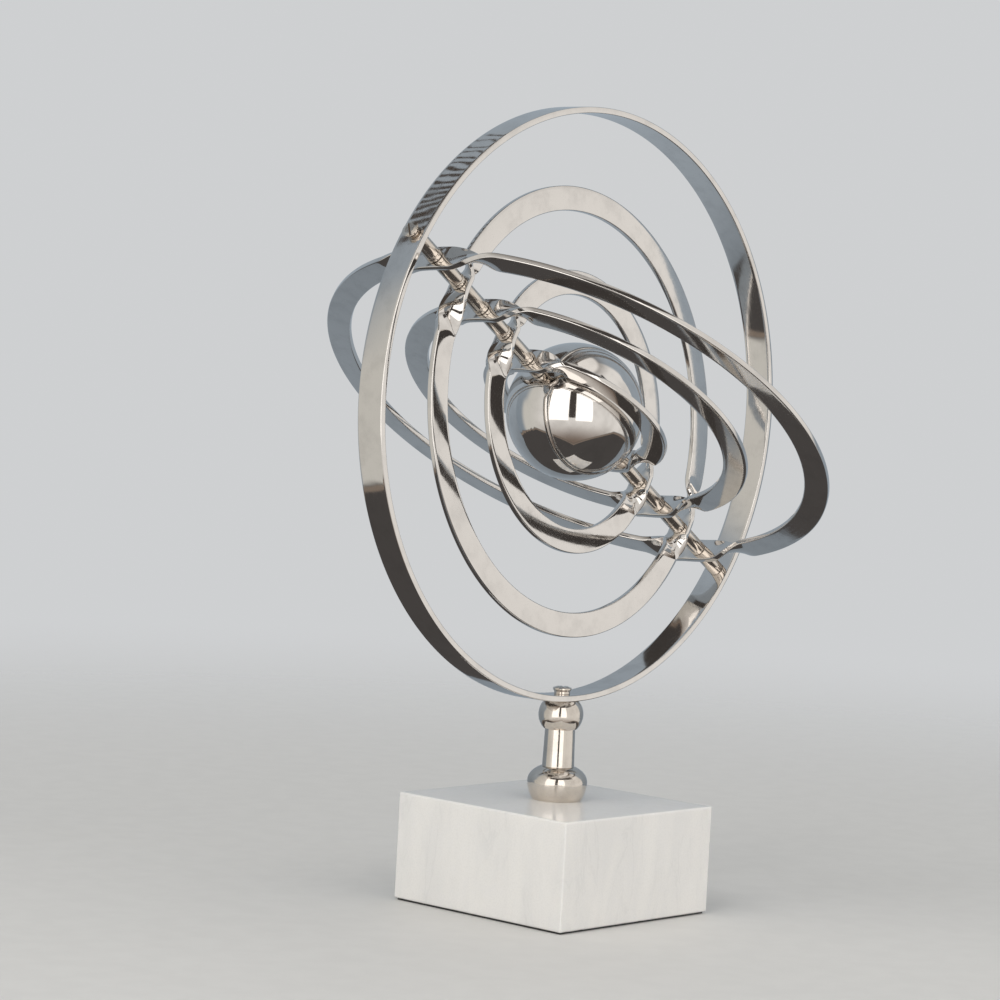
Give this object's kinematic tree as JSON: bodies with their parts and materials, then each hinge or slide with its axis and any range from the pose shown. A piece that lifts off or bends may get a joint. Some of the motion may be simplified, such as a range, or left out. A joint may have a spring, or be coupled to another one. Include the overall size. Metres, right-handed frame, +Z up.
{
  "type": "armillary sphere ornament",
  "caption": "Armillary sphere ornament: nested twisted rings and a polished ball turn on a slanted axle inside a fixed hoop, on a turned post and a square marble block.",
  "frame": {"origin": "centre of the underside of the felt, on the axis of the post", "axes": "+Z up the post; the fixed hoop stands in the XZ plane; the axle slopes down towards +X"},
  "size_m": [0.3048, 0.2742, 0.4123],
  "materials": {
    "marble": "polished white marble with faint grey veins",
    "felt": "dark felt sheet",
    "steel": "plain steel",
    "nickel_bar": "mirror polished warm nickel plate on flat bar, faint ripple",
    "nickel_small": "polished nickel plate on small turned pieces",
    "nickel_post": "polished nickel plate over a faintly pitted casting",
    "nickel_ball": "mirror polished nickel plate"
  },
  "bodies": {
    "stand": {"marble_base": "marble", "base_felt": "felt", "base_nut": "steel", "base_washer": "steel", "post_screw": "nickel_small", "post_foot": "nickel_post", "post_neck": "nickel_post", "post_top": "nickel_post", "outer_hoop": "nickel_bar", "axle_rod": "steel", "axle_end_screws": "nickel_small", "axle_end_collars": "nickel_small", "hoop_spacers": "nickel_small", "ring_spacers": "nickel_small", "ball_spacers": "nickel_small", "ring_collars": "nickel_small"},
    "first_ring": {"ring_1": "nickel_bar"},
    "second_ring": {"ring_2": "nickel_bar"},
    "third_ring": {"ring_3": "nickel_bar"},
    "fourth_ring": {"ring_4": "nickel_bar"},
    "fifth_ring": {"ring_5": "nickel_bar"},
    "ball": {"centre_ball": "nickel_ball"}
  },
  "joints": [
    {"name": "first_ring_turn", "type": "hinge", "parent": "stand", "child": "first_ring", "pos_m": [-0.00224, 0, 0.25658], "axis": [0.829, 0, -0.5592], "continuous": true},
    {"name": "second_ring_turn", "type": "hinge", "parent": "stand", "child": "second_ring", "pos_m": [-0.00224, 0, 0.25658], "axis": [0.829, 0, -0.5592], "continuous": true},
    {"name": "third_ring_turn", "type": "hinge", "parent": "stand", "child": "third_ring", "pos_m": [-0.00224, 0, 0.25658], "axis": [0.829, 0, -0.5592], "continuous": true},
    {"name": "fourth_ring_turn", "type": "hinge", "parent": "stand", "child": "fourth_ring", "pos_m": [-0.00224, 0, 0.25658], "axis": [0.829, 0, -0.5592], "continuous": true},
    {"name": "fifth_ring_turn", "type": "hinge", "parent": "stand", "child": "fifth_ring", "pos_m": [-0.00224, 0, 0.25658], "axis": [0.829, 0, -0.5592], "continuous": true},
    {"name": "ball_turn", "type": "hinge", "parent": "stand", "child": "ball", "pos_m": [-0.00224, 0, 0.25658], "axis": [0.829, 0, -0.5592], "continuous": true}
  ]
}
